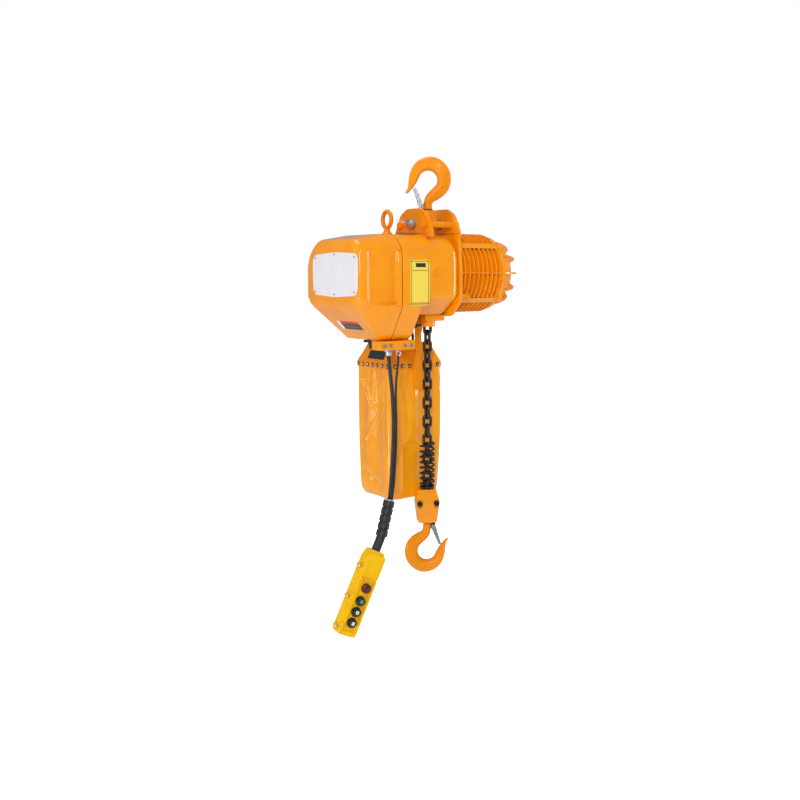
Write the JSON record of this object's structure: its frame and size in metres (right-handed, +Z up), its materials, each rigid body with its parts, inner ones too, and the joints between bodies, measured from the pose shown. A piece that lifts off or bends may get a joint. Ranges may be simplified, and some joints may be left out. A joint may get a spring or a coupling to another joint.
{
  "type": "electric chain hoist",
  "caption": "Single-fall electric chain hoist with finned motor, control box, swivelling suspension and load hooks, fabric chain bag and a hanging push-button pendant.",
  "frame": {"origin": "saddle of the top hook's bowl, on the load line", "axes": "+Z up along the load line, +X from the control box to the motor, -Y the operator's side"},
  "size_m": [0.7321, 0.3571, 1.4595],
  "materials": {
    "orange_enamel_casting": "gloss enamel on cast aluminium",
    "orange_enamel_steel": "gloss enamel on steel",
    "zinc_steel": "zinc plated",
    "machined_steel": "turned and hobbed",
    "black_chain_steel": "blackened, oiled",
    "black_rubber": "matt",
    "bag_sheet": "coated fabric, glossy",
    "yellow_housing": "moulded",
    "black_button_plastic": "moulded",
    "red_button_plastic": "moulded",
    "plate_silver": "anodised sheet",
    "switchgear_plastic": "moulded",
    "copper_winding": "varnished",
    "laminated_steel": "stacked sheet"
  },
  "bodies": {
    "hoist": {"gear_case": "orange_enamel_casting", "control_cover": "orange_enamel_casting", "nameplate": "plate_silver", "housing_screws": "zinc_steel", "back_panel": "plate_silver", "contactors": "switchgear_plastic", "transformer": "laminated_steel", "gearbox_end_plate": "machined_steel", "gearbox_mid_plate": "machined_steel", "bearing_wall": "machined_steel", "bearings": "zinc_steel", "cheek_plate_left": "orange_enamel_steel", "cheek_plate_right": "orange_enamel_steel", "spacer_rods": "orange_enamel_steel", "suspension_pin": "zinc_steel", "eye_bolt": "orange_enamel_steel", "oil_plug": "orange_enamel_steel", "motor_housing": "orange_enamel_casting", "stator": "laminated_steel", "end_cap": "orange_enamel_casting", "brake_coil": "copper_winding", "chain_guide": "orange_enamel_casting", "limit_switch": "switchgear_plastic", "gland_block": "orange_enamel_casting", "cable_gland": "zinc_steel", "power_gland": "black_rubber", "bag_frame": "orange_enamel_steel", "bag_rivets": "zinc_steel", "chain_bag": "bag_sheet", "bag_hangers": "orange_enamel_steel", "slack_chain": "black_chain_steel", "control_cable": "black_rubber", "strain_rope": "black_rubber"},
    "rotor": {"motor_shaft": "machined_steel", "rotor_core": "laminated_steel", "brake_disc": "laminated_steel"},
    "gear_shaft_1": {"first_gear_shaft": "machined_steel"},
    "gear_shaft_2": {"second_gear_shaft": "machined_steel"},
    "sheave": {"load_sheave": "machined_steel", "load_gear": "machined_steel"},
    "load_block": {"load_chain": "black_chain_steel", "limit_spring": "black_chain_steel", "block_front_half": "orange_enamel_casting", "block_rear_half": "orange_enamel_casting", "block_bolts": "black_chain_steel"},
    "lower_hook": {"bottom_hook": "orange_enamel_steel"},
    "lower_latch": {"bottom_latch": "zinc_steel"},
    "yoke": {"top_yoke": "orange_enamel_steel"},
    "upper_hook": {"top_hook": "orange_enamel_steel"},
    "upper_latch": {"top_latch": "zinc_steel"},
    "limit_arm": {"limit_lever": "black_chain_steel"},
    "pendant": {"pendant_front": "yellow_housing", "pendant_rear": "yellow_housing", "pendant_screws": "zinc_steel", "pendant_boot": "black_rubber"},
    "stop_key": {"stop_button": "red_button_plastic"},
    "start_key": {"start_button": "black_button_plastic"},
    "up_key": {"up_button": "black_button_plastic"},
    "down_key": {"down_button": "black_button_plastic"}
  },
  "joints": [
    {"name": "motor_spin", "type": "hinge", "parent": "hoist", "child": "rotor", "pos_m": [0, 0.04775, -0.316], "axis": [1, 0, 0], "range_deg": [-9200, 9200]},
    {"name": "gear_shaft_1_spin", "type": "hinge", "parent": "hoist", "child": "gear_shaft_1", "pos_m": [0, 0.04775, -0.382], "axis": [1, 0, 0], "range_deg": [-2049.44, 2049.44]},
    {"name": "gear_shaft_2_spin", "type": "hinge", "parent": "hoist", "child": "gear_shaft_2", "pos_m": [0, 0.10938, -0.37526], "axis": [1, 0, 0], "range_deg": [-547.4, 547.4]},
    {"name": "load_sheave_spin", "type": "hinge", "parent": "hoist", "child": "sheave", "pos_m": [0, 0.04775, -0.316], "axis": [1, 0, 0], "range_deg": [-147.64, 147.64]},
    {"name": "lift", "type": "slide", "parent": "hoist", "child": "load_block", "axis": [0, 0, 1], "range_m": [-0.12, 0.12], "deforming": ["slack_chain"]},
    {"name": "bottom_hook_swivel", "type": "hinge", "parent": "load_block", "child": "lower_hook", "pos_m": [0, 0, -1.117], "axis": [0, 0, 1], "continuous": true},
    {"name": "bottom_latch", "type": "hinge", "parent": "lower_hook", "child": "lower_latch", "pos_m": [0.01719, -0.01117, -1.131], "axis": [0.5446, 0.8387, 0], "range_deg": [0, 21], "stiffness_Nm_per_rad": 0.12, "springref_deg": -20.05},
    {"name": "top_yoke_swing", "type": "hinge", "parent": "hoist", "child": "yoke", "pos_m": [0, 0, -0.165], "axis": [1, 0, 0], "range_deg": [-10, 10]},
    {"name": "top_hook_swivel", "type": "hinge", "parent": "yoke", "child": "upper_hook", "pos_m": [0, 0, -0.13], "axis": [0, 0, 1], "continuous": true},
    {"name": "top_latch", "type": "hinge", "parent": "upper_hook", "child": "upper_latch", "pos_m": [-0.01719, 0.01117, -0.111], "axis": [0.5446, 0.8387, 0], "range_deg": [0, 21], "stiffness_Nm_per_rad": 0.12, "springref_deg": -20.05},
    {"name": "limit_lever", "type": "hinge", "parent": "hoist", "child": "limit_arm", "pos_m": [-0.053, 0, -0.479], "axis": [0, -1, 0], "range_deg": [0, 4], "stiffness_Nm_per_rad": 0.3, "springref_deg": -11.46},
    {"name": "pendant_swing", "type": "hinge", "parent": "hoist", "child": "pendant", "pos_m": [-0.178, -0.042, -0.548], "axis": [1, 0, 0], "range_deg": [-20, 20], "deforming": ["control_cable", "strain_rope"]},
    {"name": "stop_button", "type": "slide", "parent": "pendant", "child": "stop_key", "axis": [0.1045, 0.9945, 0], "range_m": [0, 0.004], "stiffness_N_per_m": 700},
    {"name": "start_button", "type": "slide", "parent": "pendant", "child": "start_key", "axis": [0.1045, 0.9945, 0], "range_m": [0, 0.004], "stiffness_N_per_m": 700},
    {"name": "up_button", "type": "slide", "parent": "pendant", "child": "up_key", "axis": [0.1045, 0.9945, 0], "range_m": [0, 0.004], "stiffness_N_per_m": 700},
    {"name": "down_button", "type": "slide", "parent": "pendant", "child": "down_key", "axis": [0.1045, 0.9945, 0], "range_m": [0, 0.004], "stiffness_N_per_m": 700}
  ],
  "couplings": [
    {"joint": "motor_spin", "follows": "lift", "rad_per_m": 1332.2},
    {"joint": "gear_shaft_1_spin", "follows": "lift", "rad_per_m": -296.03},
    {"joint": "gear_shaft_2_spin", "follows": "lift", "rad_per_m": 78.54},
    {"joint": "load_sheave_spin", "follows": "lift", "rad_per_m": -20.944}
  ]
}
